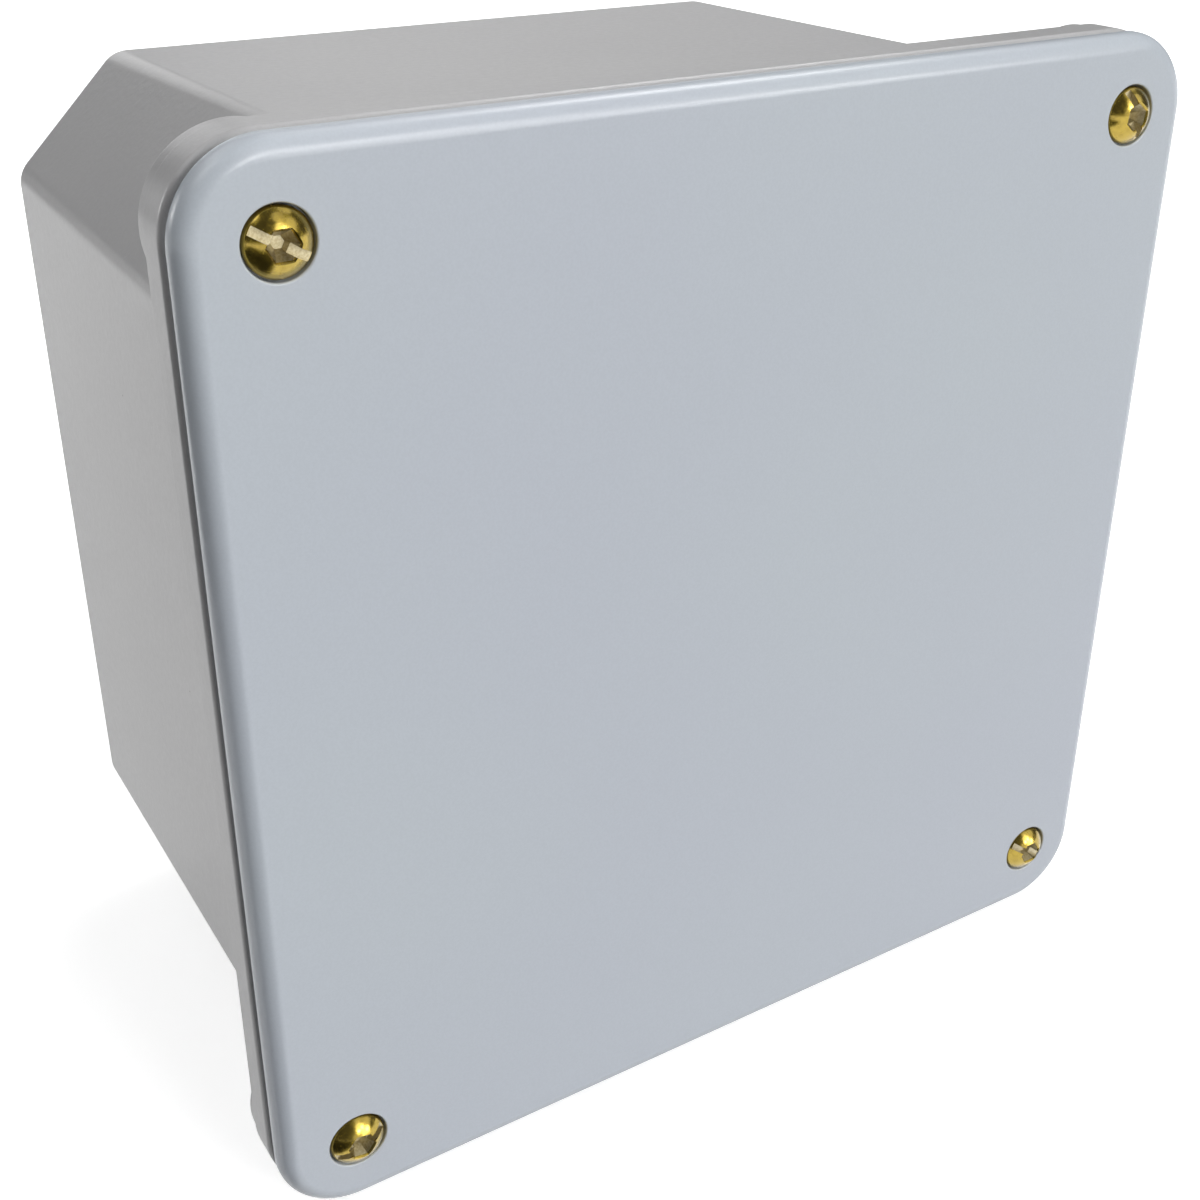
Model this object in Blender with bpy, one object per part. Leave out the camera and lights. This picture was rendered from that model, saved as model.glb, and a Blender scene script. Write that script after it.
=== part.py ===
"""Moulded PVC junction box with a screwed-on gasketed cover.

The origin is the centre of the flat back face, which goes against the wall.
+Z is up, +X is to the right of someone facing the cover, and the cover faces -Y.
"""
import math

import bmesh
import bpy

# ---------------------------------------------------------------- driving dimensions, in metres
COVER_SIZE = 0.175          # cover and flange, square
OVERALL_DEPTH = 0.1095      # back face to cover front
PLAN_RADIUS = 0.0134        # plan corners of cover and flange
COVER_THICK = 0.004
COVER_ROLL = 0.0032         # rolled front edge of the cover
SEAL_GAP = 0.0018           # cover underside to flange front
FLANGE_THICK = 0.0068
FLANGE_EDGE = 0.0010        # broken edges of the flange, and half of it on the cover's rear edge
LUG_INSET = 0.0005          # corner lugs behind the flange, inside its outline
LUG_DEPTH = 0.0034
WALL = 0.004

BODY_FRONT_INSET = 0.0055   # wall to flange edge, behind the flange
BODY_BACK_INSET = 0.0070    # the same at the back: the difference is the moulding draft
CHAMFER_SUM = 0.1422        # |x| + |z| on the outside of the corner chamfers
CHAMFER_RADIUS = 0.0045     # outside rounding between wall and chamfer
BACK_EDGE = 0.003           # rounded edge around the back face
INNER_RADIUS = 0.003        # inside rounding between wall and chamfer
INNER_EDGE = 0.0015         # inside rounding around the back wall

SCREW_PITCH = 0.1489        # square pattern of the cover screws
HEAD_RADIUS = 0.0047
HEAD_SIDE = 0.0011          # straight side of the head, below the dome
HEAD_DOME = 0.0025
THREAD_RADIUS = 0.002415    # No. 10 machine screw, 4.83 mm over the thread
SHANK_LENGTH = 0.0095
TIP_CHAMFER = 0.0006
SLOT_WIDTH = 0.0013
SLOT_DEPTH = 0.0021         # below the crown of the dome
CROSS_SPAN = 0.0064         # across the wings, at the top of the recess
CROSS_WIDTH = 0.0014
CROSS_DEPTH = 0.0030
CROSS_CENTRE = 0.0028       # square middle of the cross recess, at the top
CROSS_TIP = 0.0010          # the same at the bottom
WING_TIP = 0.0015           # length of the wings at the bottom
SLOT_ANGLES = {             # where each screw stopped turning, in degrees from +X
    "top_left": -30.0,
    "top_right": -69.0,
    "bottom_left": 20.0,
    "bottom_right": -30.0,
}

COUNTERBORE_RADIUS = 0.0050
COUNTERBORE_DEPTH = 0.0018
CLEARANCE_RADIUS = 0.0027
PAD_RADIUS = 0.0046         # stop pads under the cover, around the screws
FIT_GAP = 0.0003            # air between pieces that touch
POCKET_RADIUS = 0.0039      # pocket in each stop pad for the retaining washer
POCKET_DEPTH = 0.0012
RIB_HEIGHT = 0.0038         # locating rib under the cover
RIB_THICK = 0.0016
RIB_CLEARANCE = 0.0006

WASHER_OUTER = 0.0036
WASHER_INNER = 0.00255
WASHER_THICK = 0.0008

INSERT_OUTER = 0.0031
INSERT_INNER = 0.00255
INSERT_LENGTH = 0.0054
INSERT_SINK = 0.0002        # insert mouth below the flange front

GASKET_OUTER_HALF = 0.0823
GASKET_OUTER_SUM = 0.1414
GASKET_INNER_HALF = 0.0783
GASKET_INNER_SUM = 0.1369
GASKET_RADIUS = 0.006

BOSS_SPACING = 0.1016       # square pattern of the drill-out mounting bosses
BOSS_RADIUS = 0.007
BOSS_HEIGHT = 0.005
BOSS_PILOT_RADIUS = 0.0022
BOSS_SKIN = 0.0012          # material left between the pilot hole and the back face
DIMPLE_RADIUS = 0.0011
DIMPLE_DEPTH = 0.0005

ARC_STEPS = 6               # steps round a quarter turn of a plan corner
EDGE_STEPS = 4              # steps across a rolled edge
ROUND_SIDES = 32
SMALL_SIDES = 16            # pilot holes and dimples
DOME_STEPS = 6
SMOOTH_ANGLE = math.radians(35.0)

# ---------------------------------------------------------------- worked-out planes and sizes
HALF = COVER_SIZE / 2
COVER_FRONT = -OVERALL_DEPTH
COVER_REAR = COVER_FRONT + COVER_THICK
FLANGE_FRONT = COVER_REAR + SEAL_GAP
FLANGE_REAR = FLANGE_FRONT + FLANGE_THICK
FRONT_HALF = HALF - BODY_FRONT_INSET
BACK_HALF = HALF - BODY_BACK_INSET
DRAFT = (FRONT_HALF - BACK_HALF) / -FLANGE_REAR     # growth of the half width per metre of depth
INNER_SUM = CHAMFER_SUM - WALL * math.sqrt(2)
SEAT = COVER_FRONT + COUNTERBORE_DEPTH              # counterbore floor, under the screw heads
PAD_END = FLANGE_FRONT - FIT_GAP
CORNERS = {
    "top_left": (-1, 1),
    "top_right": (1, 1),
    "bottom_left": (-1, -1),
    "bottom_right": (1, -1),
}


# ---------------------------------------------------------------- materials
def plastic(name, colour, roughness):
    return surface(name, colour, roughness, 0.0)


def metal(name, colour, roughness):
    return surface(name, colour, roughness, 1.0)


def surface(name, colour, roughness, metallic):
    material = bpy.data.materials.new(name)
    material.use_nodes = True
    shader = material.node_tree.nodes["Principled BSDF"]
    shader.inputs["Base Color"].default_value = (*colour, 1.0)
    shader.inputs["Roughness"].default_value = roughness
    shader.inputs["Metallic"].default_value = metallic
    material.diffuse_color = (*colour, 1.0)
    return material


# ---------------------------------------------------------------- outlines in the X-Z plane
def rounded_outline(corners, radius, steps):
    """Points of a convex polygon whose corners are replaced by arcs of one radius."""
    points = []
    count = len(corners)
    for index, (x, z) in enumerate(corners):
        before = direction(corners[index], corners[index - 1])
        after = direction(corners[index], corners[(index + 1) % count])
        half_angle = math.acos(before[0] * after[0] + before[1] * after[1]) / 2
        bisector = direction((0, 0), (before[0] + after[0], before[1] + after[1]))
        reach = radius / math.sin(half_angle)
        centre = (x + bisector[0] * reach, z + bisector[1] * reach)
        sweep = math.pi - 2 * half_angle
        middle = math.atan2(-bisector[1], -bisector[0])
        for step in range(steps + 1):
            angle = middle + sweep * (step / steps - 0.5)
            points.append((centre[0] + radius * math.cos(angle), centre[1] + radius * math.sin(angle)))
    return points


def direction(start, end):
    length = math.hypot(end[0] - start[0], end[1] - start[1])
    return ((end[0] - start[0]) / length, (end[1] - start[1]) / length)


def square_outline(half, radius):
    corners = [(half, -half), (half, half), (-half, half), (-half, -half)]
    return rounded_outline(corners, radius, ARC_STEPS)


def octagon_outline(half, corner_sum, radius):
    """A square of the given half width with its corners cut along |x| + |z| = corner_sum."""
    short = corner_sum - half
    corners = [
        (half, -short), (half, short), (short, half), (-short, half),
        (-half, short), (-half, -short), (-short, -half), (short, -half),
    ]
    return rounded_outline(corners, radius, ARC_STEPS // 2)


# ---------------------------------------------------------------- solids
def new_object(name, mesh_data, material=None):
    mesh = bpy.data.meshes.new(name)
    mesh_data.to_mesh(mesh)
    mesh_data.free()
    if material:
        mesh.materials.append(material)
    item = bpy.data.objects.new(name, mesh)
    bpy.context.collection.objects.link(item)
    return item


def loft(name, sections, material=None):
    """A closed solid through outlines of equal point count, given as (y, outline) pairs."""
    solid = bmesh.new()
    rings = [[solid.verts.new((x, y, z)) for x, z in outline] for y, outline in sections]
    for lower, upper in zip(rings, rings[1:]):
        for index in range(len(lower)):
            following = (index + 1) % len(lower)
            solid.faces.new((lower[index], lower[following], upper[following], upper[index]))
    solid.faces.new(rings[0])
    solid.faces.new(rings[-1])
    bmesh.ops.recalc_face_normals(solid, faces=solid.faces)
    return new_object(name, solid, material)


def turned(name, profile, material=None, sides=ROUND_SIDES):
    """A solid turned about the Y axis from (radius, y) points that start and end on the axis."""
    solid = bmesh.new()
    rings = []
    for radius, y in profile:
        if radius == 0:
            rings.append([solid.verts.new((0, y, 0))])
            continue
        angles = [2 * math.pi * side / sides for side in range(sides)]
        rings.append([solid.verts.new((radius * math.cos(a), y, radius * math.sin(a))) for a in angles])
    for lower, upper in zip(rings, rings[1:]):
        for index in range(sides):
            join_quad(solid, lower, upper, index)
    bmesh.ops.recalc_face_normals(solid, faces=solid.faces)
    return new_object(name, solid, material)


def join_quad(solid, lower, upper, index):
    corners = [lower[index % len(lower)], lower[(index + 1) % len(lower)]]
    corners += [upper[(index + 1) % len(upper)], upper[index % len(upper)]]
    solid.faces.new(list(dict.fromkeys(corners)))


def tube(name, outer, inner, start, end, material=None):
    """A closed ring about the Y axis."""
    solid = bmesh.new()
    rings = []
    for radius, y in [(outer, start), (outer, end), (inner, end), (inner, start)]:
        angles = [2 * math.pi * side / ROUND_SIDES for side in range(ROUND_SIDES)]
        rings.append([solid.verts.new((radius * math.cos(a), y, radius * math.sin(a))) for a in angles])
    for index, ring in enumerate(rings):
        for side in range(ROUND_SIDES):
            join_quad(solid, ring, rings[(index + 1) % len(rings)], side)
    bmesh.ops.recalc_face_normals(solid, faces=solid.faces)
    return new_object(name, solid, material)


def frustum(name, top, bottom, top_y, bottom_y):
    """A four-sided tapered block between two centred (width, height) rectangles."""
    sections = []
    for (width, height), y in ((top, top_y), (bottom, bottom_y)):
        x, z = width / 2, height / 2
        sections.append((y, [(x, -z), (x, z), (-x, z), (-x, -z)]))
    return loft(name, sections)


def cylinder(name, radius, start, end, sides=ROUND_SIDES):
    return turned(name, [(0, start), (radius, start), (radius, end), (0, end)], sides=sides)


# ---------------------------------------------------------------- joining and cutting
def combine(target, tool, operation):
    modifier = target.modifiers.new(f"{operation.lower()} {tool.name}", "BOOLEAN")
    modifier.operation = operation
    modifier.solver = "EXACT"
    modifier.object = tool
    tool.parent = target
    tool.display_type = "WIRE"
    tool.hide_render = True


def add(target, tool):
    combine(target, tool, "UNION")


def cut(target, tool):
    combine(target, tool, "DIFFERENCE")


def place(tool, x, z):
    tool.location = (x, 0, z)
    return tool


def pattern(pitch):
    """The four corner names and places of a square pattern, in metres."""
    return [(corner, sx * pitch / 2, sz * pitch / 2) for corner, (sx, sz) in CORNERS.items()]


def shade(item):
    item.data.shade_smooth()
    item.data.set_sharp_from_angle(angle=SMOOTH_ANGLE)


# ---------------------------------------------------------------- the box
def body_half(y):
    """Outer half width of the drafted walls at depth y."""
    return BACK_HALF - DRAFT * y


def quarter_turn(steps):
    """(in, along) fractions of a rounded edge, from its face tangent to its side tangent."""
    for step in range(steps + 1):
        angle = math.pi / 2 * step / steps
        yield 1 - math.sin(angle), 1 - math.cos(angle)


def drafted_prism(name, edge, start, end, inset, corner_sum, radius, material=None):
    """The octagonal prism of the walls, with a rounded edge round its rear end."""
    sections = []
    for inward, along in quarter_turn(EDGE_STEPS):
        y = start - edge * along
        shrink = edge * inward
        half = body_half(y) - inset - shrink
        sections.append((y, octagon_outline(half, corner_sum - shrink * math.sqrt(2), radius - shrink)))
    sections.append((end, octagon_outline(body_half(end) - inset, corner_sum, radius)))
    return loft(name, sections, material)


def flange_plate(name):
    """The square front flange with broken edges."""
    sections = [
        (FLANGE_REAR, square_outline(HALF - FLANGE_EDGE, PLAN_RADIUS - FLANGE_EDGE)),
        (FLANGE_REAR - FLANGE_EDGE, square_outline(HALF, PLAN_RADIUS)),
        (FLANGE_FRONT + FLANGE_EDGE, square_outline(HALF, PLAN_RADIUS)),
        (FLANGE_FRONT, square_outline(HALF - FLANGE_EDGE, PLAN_RADIUS - FLANGE_EDGE)),
    ]
    return loft(name, sections)


def build_body(material):
    middle_of_flange = (FLANGE_FRONT + FLANGE_REAR) / 2
    body = drafted_prism(
        "box_body", BACK_EDGE, 0.0, middle_of_flange, 0.0, CHAMFER_SUM, CHAMFER_RADIUS, material
    )
    add(body, flange_plate("body_flange"))
    for corner, x, z in pattern(COVER_SIZE - 2 * PLAN_RADIUS):
        lug = cylinder(f"lug_{corner}", PLAN_RADIUS - LUG_INSET, FLANGE_REAR + LUG_DEPTH, middle_of_flange)
        add(body, place(lug, x, z))
    past_front = FLANGE_FRONT - WALL
    cavity = drafted_prism("body_cavity", INNER_EDGE, -WALL, past_front, WALL, INNER_SUM, INNER_RADIUS)
    cut(body, cavity)
    boss_top = -WALL - BOSS_HEIGHT
    for corner, x, z in pattern(BOSS_SPACING):
        boss = cylinder(f"boss_{corner}", BOSS_RADIUS, -WALL / 2, boss_top)
        add(body, place(boss, x, z))
        pilot = cylinder(f"pilot_{corner}", BOSS_PILOT_RADIUS, -BOSS_SKIN, boss_top - WALL, SMALL_SIDES)
        cut(body, place(pilot, x, z))
        dimple = turned(
            f"dimple_{corner}",
            [(0, DIMPLE_DEPTH), (DIMPLE_RADIUS * 2, DIMPLE_DEPTH), (0, -DIMPLE_DEPTH)],
            sides=SMALL_SIDES,
        )
        cut(body, place(dimple, x, z))
    for corner, x, z in pattern(SCREW_PITCH):
        bottom = FLANGE_FRONT + INSERT_SINK + INSERT_LENGTH + FIT_GAP
        pocket = cylinder(f"insert_pocket_{corner}", INSERT_OUTER + FIT_GAP, bottom, past_front)
        cut(body, place(pocket, x, z))
    shade(body)
    return body


# ---------------------------------------------------------------- the cover
def cover_plate(name, material):
    sections = []
    for y, shrink in ((COVER_REAR, FLANGE_EDGE / 2), (COVER_REAR - FLANGE_EDGE / 2, 0.0)):
        sections.append((y, square_outline(HALF - shrink, PLAN_RADIUS - shrink)))
    for inward, along in reversed(list(quarter_turn(EDGE_STEPS))):
        y = COVER_FRONT + COVER_ROLL * along
        shrink = COVER_ROLL * inward
        sections.append((y, square_outline(HALF - shrink, PLAN_RADIUS - shrink)))
    return loft(name, sections, material)


def rib_outline(inset):
    """Outline of the locating rib, inset from the wall of the box's mouth."""
    half = body_half(FLANGE_FRONT) - WALL - inset
    return octagon_outline(half, INNER_SUM - inset * math.sqrt(2), INNER_RADIUS - inset)


def build_cover(material):
    cover = cover_plate("front_cover", material)
    rib_top = COVER_REAR + RIB_HEIGHT
    root = COVER_REAR - COVER_THICK / 2
    outer = rib_outline(RIB_CLEARANCE)
    inner = rib_outline(RIB_CLEARANCE + RIB_THICK)
    rib = loft("cover_rib", [(root, outer), (rib_top, outer)])
    hollow = loft("cover_rib_hollow", [(root - WALL, inner), (rib_top + WALL, inner)])
    cut(rib, hollow)
    add(cover, rib)
    for corner, x, z in pattern(SCREW_PITCH):
        pad = cylinder(f"pad_{corner}", PAD_RADIUS, root, PAD_END)
        add(cover, place(pad, x, z))
    for corner, x, z in pattern(SCREW_PITCH):
        counterbore = cylinder(f"counterbore_{corner}", COUNTERBORE_RADIUS, SEAT, COVER_FRONT - WALL)
        cut(cover, place(counterbore, x, z))
        hole = cylinder(f"screw_hole_{corner}", CLEARANCE_RADIUS, COVER_FRONT - WALL, PAD_END + WALL)
        cut(cover, place(hole, x, z))
        pocket = cylinder(f"washer_pocket_{corner}", POCKET_RADIUS, PAD_END - POCKET_DEPTH, PAD_END + WALL)
        cut(cover, place(pocket, x, z))
    shade(cover)
    return cover


def build_gasket(material):
    start = COVER_REAR + FIT_GAP
    end = FLANGE_FRONT - FIT_GAP
    outer = octagon_outline(GASKET_OUTER_HALF, GASKET_OUTER_SUM, GASKET_RADIUS)
    inner = octagon_outline(GASKET_INNER_HALF, GASKET_INNER_SUM, GASKET_RADIUS / 2)
    gasket = loft("cover_gasket", [(start, outer), (end, outer)], material)
    cut(gasket, loft("gasket_hollow", [(start - WALL, inner), (end + WALL, inner)]))
    shade(gasket)
    return gasket


# ---------------------------------------------------------------- the fasteners
def screw_profile():
    """(radius, y) points from the crown to the tip, with the under-head face at y = 0."""
    ball = (HEAD_RADIUS ** 2 + HEAD_DOME ** 2) / (2 * HEAD_DOME)
    rise = math.asin(HEAD_RADIUS / ball)
    points = []
    for step in range(DOME_STEPS + 1):
        angle = rise * step / DOME_STEPS
        points.append((ball * math.sin(angle), -HEAD_SIDE - HEAD_DOME + ball * (1 - math.cos(angle))))
    points += [(HEAD_RADIUS, 0.0), (THREAD_RADIUS, 0.0)]
    points += [(THREAD_RADIUS, SHANK_LENGTH - TIP_CHAMFER)]
    points += [(THREAD_RADIUS - TIP_CHAMFER, SHANK_LENGTH), (0, SHANK_LENGTH)]
    return points


def build_screw(name, material):
    screw = turned(name, screw_profile(), material)
    crown = -HEAD_SIDE - HEAD_DOME
    above = crown - HEAD_DOME
    bottom = crown + CROSS_DEPTH
    slot_size = (HEAD_RADIUS * 4, SLOT_WIDTH)
    tip_size = (CROSS_TIP, CROSS_TIP)
    cut(screw, frustum(f"{name}_slot", slot_size, slot_size, above, crown + SLOT_DEPTH))
    wing_size = (CROSS_WIDTH, CROSS_SPAN)
    cut(screw, frustum(f"{name}_cross", wing_size, (CROSS_TIP, WING_TIP), above, bottom))
    centre_size = (CROSS_CENTRE, CROSS_CENTRE)
    cut(screw, frustum(f"{name}_socket", centre_size, tip_size, above, bottom))
    shade(screw)
    return screw


def build_washer(name, material):
    washer = tube(name, WASHER_OUTER, WASHER_INNER, -WASHER_THICK / 2, WASHER_THICK / 2, material)
    shade(washer)
    return washer


def build_insert(name, material):
    insert = tube(name, INSERT_OUTER, INSERT_INNER, 0.0, INSERT_LENGTH, material)
    shade(insert)
    return insert


def build_fasteners(cover, body, brass, nylon, insert_brass):
    washer_y = PAD_END - POCKET_DEPTH + FIT_GAP + WASHER_THICK / 2
    for corner, x, z in pattern(SCREW_PITCH):
        washer = build_washer(f"retaining_washer_{corner}", nylon)
        washer.location = (x, washer_y, z)
        washer.parent = cover
        screw = build_screw(f"cover_screw_{corner}", brass)
        screw.location = (0, SEAT - FIT_GAP - washer_y, 0)
        screw.rotation_euler = (0, -math.radians(SLOT_ANGLES[corner]), 0)
        screw.parent = washer
        insert = build_insert(f"threaded_insert_{corner}", insert_brass)
        insert.location = (x, FLANGE_FRONT + INSERT_SINK, z)
        insert.parent = body


# ---------------------------------------------------------------- everything
def main():
    for item in list(bpy.data.objects):
        bpy.data.objects.remove(item, do_unlink=True)
    body_grey = plastic("body_pvc", (0.44, 0.44, 0.45), 0.42)
    cover_grey = plastic("cover_pvc", (0.44, 0.48, 0.54), 0.3)
    foam = plastic("gasket_foam", (0.035, 0.036, 0.038), 0.9)
    nylon = plastic("washer_nylon", (0.72, 0.71, 0.66), 0.45)
    brass = metal("screw_brass", (0.72, 0.53, 0.16), 0.22)
    insert_brass = metal("insert_brass", (0.66, 0.5, 0.2), 0.35)
    body = build_body(body_grey)
    cover = build_cover(cover_grey)
    gasket = build_gasket(foam)
    gasket.parent = cover
    build_fasteners(cover, body, brass, nylon, insert_brass)


main()
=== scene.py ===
"""Looks of the moulded junction box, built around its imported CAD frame.

Everything is in metres in the frame's own axes: the flat back is at y = 0, the cover faces -Y
and +Z is up. Each CAD node is replaced by a finer piece of the same size in the same place.
"""
import math

import bmesh
import bpy
from mathutils import Euler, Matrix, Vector


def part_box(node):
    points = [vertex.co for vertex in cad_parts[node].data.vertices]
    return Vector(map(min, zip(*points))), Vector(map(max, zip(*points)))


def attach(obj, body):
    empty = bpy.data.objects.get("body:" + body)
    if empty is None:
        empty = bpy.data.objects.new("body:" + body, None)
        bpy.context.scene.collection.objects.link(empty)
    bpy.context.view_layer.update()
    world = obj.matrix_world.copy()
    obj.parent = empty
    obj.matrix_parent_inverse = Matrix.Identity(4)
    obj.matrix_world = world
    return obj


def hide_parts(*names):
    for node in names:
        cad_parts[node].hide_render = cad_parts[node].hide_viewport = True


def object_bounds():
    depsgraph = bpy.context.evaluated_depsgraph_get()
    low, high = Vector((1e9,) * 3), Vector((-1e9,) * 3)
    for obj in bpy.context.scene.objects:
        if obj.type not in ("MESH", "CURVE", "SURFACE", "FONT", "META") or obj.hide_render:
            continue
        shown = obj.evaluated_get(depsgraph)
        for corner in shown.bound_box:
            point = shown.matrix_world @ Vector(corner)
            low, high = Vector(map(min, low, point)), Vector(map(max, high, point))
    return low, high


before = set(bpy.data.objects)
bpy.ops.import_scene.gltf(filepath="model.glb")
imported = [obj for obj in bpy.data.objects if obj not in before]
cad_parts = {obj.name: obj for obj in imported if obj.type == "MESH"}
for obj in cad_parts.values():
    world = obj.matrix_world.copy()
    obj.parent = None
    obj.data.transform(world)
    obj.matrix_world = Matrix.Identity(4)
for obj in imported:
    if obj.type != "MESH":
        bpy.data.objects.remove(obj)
CAD_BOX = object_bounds()

# ---------------------------------------------------------------- sizes read from the frame
BODY_LOW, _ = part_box("box_body")
COVER_LOW, COVER_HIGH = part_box("front_cover")
GASKET_LOW, GASKET_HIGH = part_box("cover_gasket")
HALF = COVER_HIGH.x
COVER_FRONT = COVER_LOW.y
RIB_TIP = COVER_HIGH.y
FLANGE_FRONT = BODY_LOW.y
CORNERS = ("top_left", "top_right", "bottom_left", "bottom_right")

# ---------------------------------------------------------------- sizes of the mouldings
PLAN_RADIUS = 0.0134
COVER_THICK = 0.0040
COVER_ROLL = 0.0030
COVER_REAR_EDGE = 0.0005
FLANGE_THICK = 0.0068
FLANGE_FRONT_EDGE = 0.0012
FLANGE_REAR_EDGE = 0.0007
LUG_INSET = 0.0005
LUG_DEPTH = 0.0034
WALL = 0.0040
FRONT_INSET = 0.0055
BACK_INSET = 0.0070
CHAMFER_SUM = 0.1422
CREASE_RADIUS = 0.0030
BACK_CREASE_RADIUS = 0.0055
BACK_EDGE = 0.0030
ROOT_FILLET = 0.0010
INNER_RADIUS = 0.0020
INNER_EDGE = 0.0015
MOUTH_EDGE = 0.0006
OVERLAP = COVER_THICK / 4   # how far the rib and the pads reach into the plate before they are joined

COUNTERBORE_RADIUS = 0.0050
COUNTERBORE_DEPTH = 0.0018
COUNTERBORE_LIP = 0.00030
CLEARANCE_RADIUS = 0.0027
PAD_RADIUS = 0.0046
PAD_GAP = 0.0003            # between the end of a stop pad and the flange
PAD_FILLET = 0.0006
POCKET_RADIUS = 0.0039
POCKET_DEPTH = 0.0012
PAD_EDGE = 0.0003
RIB_THICK = 0.0016
RIB_ROUNDING = RIB_THICK * 0.4
RIB_CLEARANCE = 0.0006

BOSS_SPACING = 0.1016
BOSS_RADIUS = 0.0070
BOSS_HEIGHT = 0.0050
BOSS_EDGE = 0.0008
PILOT_RADIUS = 0.0022
PILOT_SKIN = 0.0012
DIMPLE_RADIUS = 0.0011
DIMPLE_DEPTH = 0.0005

# ---------------------------------------------------------------- sizes of the small pieces
HEAD_RADIUS = 0.0047
HEAD_SIDE = 0.0011
HEAD_DOME = 0.0025
HEAD_EDGE = 0.00022
SHANK_LENGTH = 0.0095
THREAD_OUTER = 0.0024
THREAD_DEPTH = 0.00050
THREAD_PITCH = 0.0254 / 24
THREAD_CREST = 0.125        # width of the flat crest, as a share of the pitch
THREAD_FLANK = 0.625        # width of the two flanks together, as a share of the pitch
THREAD_RINGS = 10           # sections per turn of a thread
SLOT_WIDTH = 0.0013
SLOT_DEPTH = 0.0021
SOCKET_TOP = 0.0019          # half across the flats, under the chamfered mouth
SOCKET_FLOOR = 0.0008
SOCKET_MOUTH = 0.00080       # depth of the 45 degree chamfer under the crown
SOCKET_DEPTH = 0.0029
RECESS_SKIN = 0.00003        # how far under the dome the sawn finish starts
SLOT_ANGLES = {"top_left": -30.0, "top_right": -69.0, "bottom_left": 20.0, "bottom_right": -30.0}

WASHER_EDGE = 0.0002
WASHER_INNER = 0.00255
INSERT_INNER = 0.00255
INSERT_THREAD = 0.00028
INSERT_EDGE = 0.0003
KNURL_DEPTH = 0.00014
KNURL_TEETH = 24
KNURL_PITCH = 0.0016
INSERT_POCKET = 0.0034

GASKET_OUTER_SUM = 0.1414
GASKET_WIDTH = 0.0040
GASKET_RADIUS = 0.006
GASKET_INNER_SUM = 0.1369
GASKET_SIDE_POWER = 0.3     # below 1 squares up the rounded section across its width
GASKET_FACE_POWER = 0.5     # and through its thickness

CORNER_STEPS = 24           # per quarter turn of a plan corner
CREASE_STEPS = 8
EDGE_STEPS = 8
ROUND_SIDES = 96
SMOOTH_ANGLE = math.radians(32.0)

COVER_REAR = COVER_FRONT + COVER_THICK
FLANGE_REAR = FLANGE_FRONT + FLANGE_THICK
FRONT_HALF = HALF - FRONT_INSET
BACK_HALF = HALF - BACK_INSET
DRAFT = (FRONT_HALF - BACK_HALF) / -FLANGE_REAR
INNER_SUM = CHAMFER_SUM - WALL * math.sqrt(2)
SEAT = COVER_FRONT + COUNTERBORE_DEPTH
HEAD_BALL = (HEAD_RADIUS ** 2 + HEAD_DOME ** 2) / (2 * HEAD_DOME)
PAD_END = FLANGE_FRONT - PAD_GAP


# ---------------------------------------------------------------- outlines in the X-Z plane
def unit(start, end):
    length = math.hypot(end[0] - start[0], end[1] - start[1])
    return ((end[0] - start[0]) / length, (end[1] - start[1]) / length)


def rounded_outline(corners, radius, steps):
    """Points of a convex polygon whose corners are arcs of one radius."""
    points = []
    for index, (x, z) in enumerate(corners):
        before = unit(corners[index], corners[index - 1])
        after = unit(corners[index], corners[(index + 1) % len(corners)])
        half_angle = math.acos(before[0] * after[0] + before[1] * after[1]) / 2
        inward = unit((0, 0), (before[0] + after[0], before[1] + after[1]))
        reach = radius / math.sin(half_angle)
        centre = (x + inward[0] * reach, z + inward[1] * reach)
        sweep = math.pi - 2 * half_angle
        middle = math.atan2(-inward[1], -inward[0])
        for step in range(steps + 1):
            angle = middle + sweep * (step / steps - 0.5)
            points.append((centre[0] + radius * math.cos(angle), centre[1] + radius * math.sin(angle)))
    return points


def square_outline(half, radius):
    corners = [(half, -half), (half, half), (-half, half), (-half, -half)]
    return rounded_outline(corners, radius, CORNER_STEPS)


def octagon_outline(half, corner_sum, radius):
    """A square with its corners cut along |x| + |z| = corner_sum, every corner rounded."""
    short = corner_sum - half
    corners = [
        (half, -short), (half, short), (short, half), (-short, half),
        (-half, short), (-half, -short), (-short, -half), (short, -half),
    ]
    return rounded_outline(corners, radius, CREASE_STEPS)


def quarter(steps):
    """(in, along) fractions of a rounded edge, from its face tangent to its side tangent."""
    for step in range(steps + 1):
        angle = math.pi / 2 * step / steps
        yield 1 - math.sin(angle), 1 - math.cos(angle)


def wall_half(y):
    """Outer half width of the drafted walls at depth y."""
    return BACK_HALF - DRAFT * y


# ---------------------------------------------------------------- solids
def new_piece(name, solid, material=None):
    bmesh.ops.recalc_face_normals(solid, faces=solid.faces)
    mesh = bpy.data.meshes.new(name)
    solid.to_mesh(mesh)
    solid.free()
    if material:
        mesh.materials.append(material)
    piece = bpy.data.objects.new(name, mesh)
    bpy.context.scene.collection.objects.link(piece)
    return piece


def loft(name, sections, material=None):
    """A closed solid through outlines of equal point count, given as (y, outline) pairs."""
    solid = bmesh.new()
    rings = [[solid.verts.new((x, y, z)) for x, z in outline] for y, outline in sections]
    for lower, upper in zip(rings, rings[1:]):
        for index in range(len(lower)):
            following = (index + 1) % len(lower)
            solid.faces.new((lower[index], lower[following], upper[following], upper[index]))
    solid.faces.new(rings[0])
    solid.faces.new(rings[-1])
    return new_piece(name, solid, material)


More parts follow.
